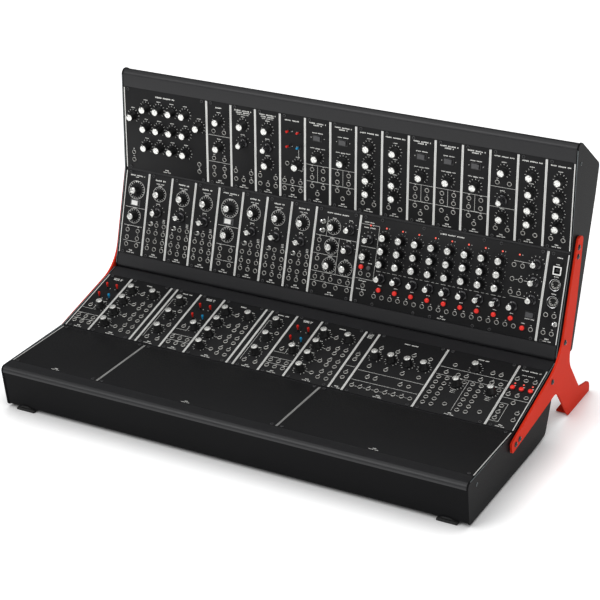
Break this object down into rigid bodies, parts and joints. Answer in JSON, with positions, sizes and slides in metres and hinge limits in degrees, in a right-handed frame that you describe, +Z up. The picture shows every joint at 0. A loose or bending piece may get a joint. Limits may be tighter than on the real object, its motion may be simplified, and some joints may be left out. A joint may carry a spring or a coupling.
{
  "type": "modular synthesizer",
  "caption": "Wide black modular synthesizer: two angled cases stacked on red side brackets, rows of panels with knobs, switches, lamps and patch sockets.",
  "frame": {"origin": "centre of the footprint, on the floor the feet stand on", "axes": "+X along the rows to the right of the player, +Y away from the player, +Z up"},
  "size_m": [0.7296, 0.4406, 0.4096],
  "materials": {
    "powder_coated_steel": "fine textured black powder coat",
    "rail_aluminium": "extruded aluminium with fine textured black powder coat",
    "panel_black": "matte black panels with pale printed lines and bare silver edges",
    "bracket_red": "satin red paint over folded steel, black screws",
    "foot_rubber": "matte",
    "circuit_board": "green solder mask",
    "knob_black": "black with a spun silver cap",
    "cap_red": "glossy",
    "cap_blue": "glossy",
    "cap_white": "glossy",
    "lever_chrome": "polished"
  },
  "bodies": {
    "case_stack": {"lower_case_tray": "powder_coated_steel", "lower_left_cheek": "powder_coated_steel", "lower_right_cheek": "powder_coated_steel", "lower_front_rail": "rail_aluminium", "lower_middle_rail": "rail_aluminium", "lower_rear_rail": "rail_aluminium", "lower_power_board": "circuit_board", "upper_case_tray": "powder_coated_steel", "upper_left_cheek": "powder_coated_steel", "upper_right_cheek": "powder_coated_steel", "upper_front_rail": "rail_aluminium", "upper_middle_rail": "rail_aluminium", "upper_rear_rail": "rail_aluminium", "upper_power_board": "circuit_board", "left_bracket": "bracket_red", "right_bracket": "bracket_red", "front_left_foot": "foot_rubber", "front_right_foot": "foot_rubber", "rear_left_foot": "foot_rubber", "rear_right_foot": "foot_rubber", "filter_bank_module": "panel_black", "noise_and_filter_modules": "panel_black", "amplifier_and_envelope_modules": "panel_black", "triple_amplifier_modules": "panel_black", "trigger_and_envelope_modules": "panel_black", "oscillator_bank_left": "panel_black", "oscillator_bank_right": "panel_black", "coupler_module": "panel_black", "sequencer_module": "panel_black", "midi_module": "panel_black", "mixer_section_left": "panel_black", "mixer_section_middle": "panel_black", "mixer_section_right": "panel_black", "processor_module": "panel_black", "interface_module": "panel_black", "sequential_switch_module": "panel_black", "blank_panel_left": "panel_black", "blank_panel_middle": "panel_black", "blank_panel_right": "panel_black"},
    "mixer_level_knob_body": {"mixer_level_knob": "knob_black"},
    "attenuator_knob_body": {"attenuator_knob": "knob_black"},
    "channel_switch_blue_body": {"channel_switch_blue": "cap_blue"},
    "processor_knob_body": {"processor_knob": "knob_black"},
    "sequential_switch_button_body": {"sequential_switch_button": "cap_red"},
    "driver_tuning_knob_body": {"driver_tuning_knob": "knob_black"},
    "driver_range_rocker_body": {"driver_range_rocker": "cap_white"},
    "oscillator_frequency_knob_body": {"oscillator_frequency_knob": "knob_black"},
    "oscillator_range_selector_body": {"oscillator_range_selector": "knob_black"},
    "oscillator_sync_toggle_body": {"oscillator_sync_toggle": "lever_chrome"},
    "coupler_knob_body": {"coupler_knob": "knob_black"},
    "coupler_selector_body": {"coupler_selector": "knob_black"},
    "sequencer_stage_knob_body": {"sequencer_stage_knob": "knob_black"},
    "sequencer_stage_selector_body": {"sequencer_stage_selector": "knob_black"},
    "sequencer_stage_button_body": {"sequencer_stage_button": "cap_red"},
    "filter_bank_knob_body": {"filter_bank_knob": "knob_black"},
    "filter_range_selector_body": {"filter_range_selector": "knob_black"},
    "patch_switch_red_body": {"patch_switch_red": "cap_red"},
    "amplifier_mode_rocker_body": {"amplifier_mode_rocker": "knob_black"},
    "amplifier_knob_body": {"amplifier_knob": "knob_black"},
    "envelope_knob_body": {"envelope_knob": "knob_black"}
  },
  "joints": [
    {"name": "mixer_level_knob_turn", "type": "hinge", "parent": "case_stack", "child": "mixer_level_knob_body", "pos_m": [-0.2602, 0.031, 0.0944], "axis": [0, -0.2588, 0.9659], "range_deg": [-150, 150]},
    {"name": "attenuator_knob_turn", "type": "hinge", "parent": "case_stack", "child": "attenuator_knob_body", "pos_m": [-0.21336, 0.031, 0.0944], "axis": [0, -0.2588, 0.9659], "range_deg": [-150, 150]},
    {"name": "channel_switch_blue_throw", "type": "hinge", "parent": "case_stack", "child": "channel_switch_blue_body", "pos_m": [-0.16004, 0.00525, 0.08625], "axis": [1, 0, 0], "range_deg": [0, 16]},
    {"name": "processor_knob_turn", "type": "hinge", "parent": "case_stack", "child": "processor_knob_body", "pos_m": [0.11707, 0.01077, 0.08898], "axis": [0, -0.2588, 0.9659], "range_deg": [-150, 150]},
    {"name": "sequential_switch_button_press", "type": "slide", "parent": "case_stack", "child": "sequential_switch_button_body", "axis": [0, 0.2588, -0.9659], "range_m": [0, 0.0015], "stiffness_N_per_m": 500},
    {"name": "driver_tuning_knob_turn", "type": "hinge", "parent": "case_stack", "child": "driver_tuning_knob_body", "pos_m": [-0.33512, 0.11108, 0.2246], "axis": [0, -0.9659, 0.2588], "range_deg": [-150, 150]},
    {"name": "driver_range_rocker_rock", "type": "hinge", "parent": "case_stack", "child": "driver_range_rocker_body", "pos_m": [-0.33459, 0.10648, 0.20548], "axis": [0, 0.2588, 0.9659], "range_deg": [0, 16]},
    {"name": "oscillator_frequency_knob_turn", "type": "hinge", "parent": "case_stack", "child": "oscillator_frequency_knob_body", "pos_m": [-0.29448, 0.11102, 0.22435], "axis": [0, -0.9659, 0.2588], "range_deg": [-150, 150]},
    {"name": "oscillator_range_selector_turn", "type": "hinge", "parent": "case_stack", "child": "oscillator_range_selector_body", "pos_m": [-0.29464, 0.10377, 0.19729], "axis": [0, -0.9659, 0.2588], "range_deg": [-75, 75]},
    {"name": "oscillator_sync_toggle_throw", "type": "hinge", "parent": "case_stack", "child": "oscillator_sync_toggle_body", "pos_m": [-0.30346, 0.10014, 0.17911], "axis": [1, 0, 0], "range_deg": [0, 16]},
    {"name": "coupler_knob_turn", "type": "hinge", "parent": "case_stack", "child": "coupler_knob_body", "pos_m": [-0.00047, 0.1043, 0.19928], "axis": [0, -0.9659, 0.2588], "range_deg": [-150, 150]},
    {"name": "coupler_selector_turn", "type": "hinge", "parent": "case_stack", "child": "coupler_selector_body", "pos_m": [0.02642, 0.11188, 0.22758], "axis": [0, -0.9659, 0.2588], "range_deg": [-75, 75]},
    {"name": "sequencer_stage_knob_turn", "type": "hinge", "parent": "case_stack", "child": "sequencer_stage_knob_body", "pos_m": [0.08161, 0.11155, 0.22634], "axis": [0, -0.9659, 0.2588], "range_deg": [-150, 150]},
    {"name": "sequencer_stage_selector_turn", "type": "hinge", "parent": "case_stack", "child": "sequencer_stage_selector_body", "pos_m": [0.08263, 0.09615, 0.16887], "axis": [0, -0.9659, 0.2588], "range_deg": [-75, 75]},
    {"name": "sequencer_stage_button_press", "type": "slide", "parent": "case_stack", "child": "sequencer_stage_button_body", "axis": [0, 0.9659, -0.2588], "range_m": [0, 0.0015], "stiffness_N_per_m": 500},
    {"name": "filter_bank_knob_turn", "type": "hinge", "parent": "case_stack", "child": "filter_bank_knob_body", "pos_m": [-0.29557, 0.11892, 0.35519], "axis": [0, -1, 0], "range_deg": [-150, 150]},
    {"name": "filter_range_selector_turn", "type": "hinge", "parent": "case_stack", "child": "filter_range_selector_body", "pos_m": [-0.1524, 0.11892, 0.32731], "axis": [0, -1, 0], "range_deg": [-75, 75]},
    {"name": "patch_switch_red_throw", "type": "hinge", "parent": "case_stack", "child": "patch_switch_red_body", "pos_m": [-0.07596, 0.12012, 0.35879], "axis": [1, 0, 0], "range_deg": [0, 16]},
    {"name": "amplifier_mode_rocker_rock", "type": "hinge", "parent": "case_stack", "child": "amplifier_mode_rocker_body", "pos_m": [-0.03048, 0.11942, 0.35532], "axis": [0, 0, 1], "range_deg": [0, 16]},
    {"name": "amplifier_knob_turn", "type": "hinge", "parent": "case_stack", "child": "amplifier_knob_body", "pos_m": [-0.03048, 0.11892, 0.32641], "axis": [0, -1, 0], "range_deg": [-150, 150]},
    {"name": "envelope_knob_turn", "type": "hinge", "parent": "case_stack", "child": "envelope_knob_body", "pos_m": [0.0508, 0.11892, 0.35519], "axis": [0, -1, 0], "range_deg": [-150, 150]}
  ]
}
